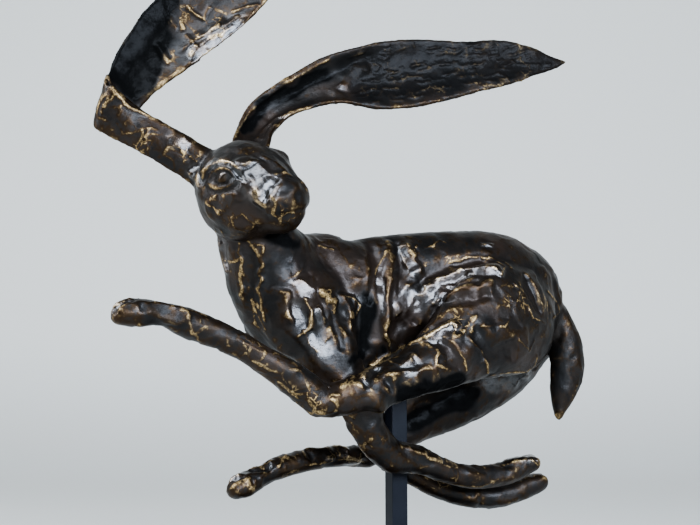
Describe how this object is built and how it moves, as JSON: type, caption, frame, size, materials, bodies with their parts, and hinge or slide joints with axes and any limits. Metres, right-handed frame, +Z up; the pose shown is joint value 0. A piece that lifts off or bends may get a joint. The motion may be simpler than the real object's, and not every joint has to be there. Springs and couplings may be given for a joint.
{
  "type": "running hare sculpture",
  "caption": "Dark bronze hare at full stretch, looking back over its shoulder with long swept ears, held up by a slim square post on a low plate.",
  "frame": {"origin": "middle of the base plate's underside, below the post", "axes": "-X the way the hare runs, -Y the side it looks back over, +Z up"},
  "size_m": [0.3864, 0.1276, 0.4874],
  "materials": {
    "bronze": "dark brown patina, rubbed golden on the ridges, glossy",
    "black_steel": "satin black"
  },
  "bodies": {
    "root": {"hare": "bronze", "post": "black_steel", "base_plate": "black_steel"}
  },
  "joints": []
}
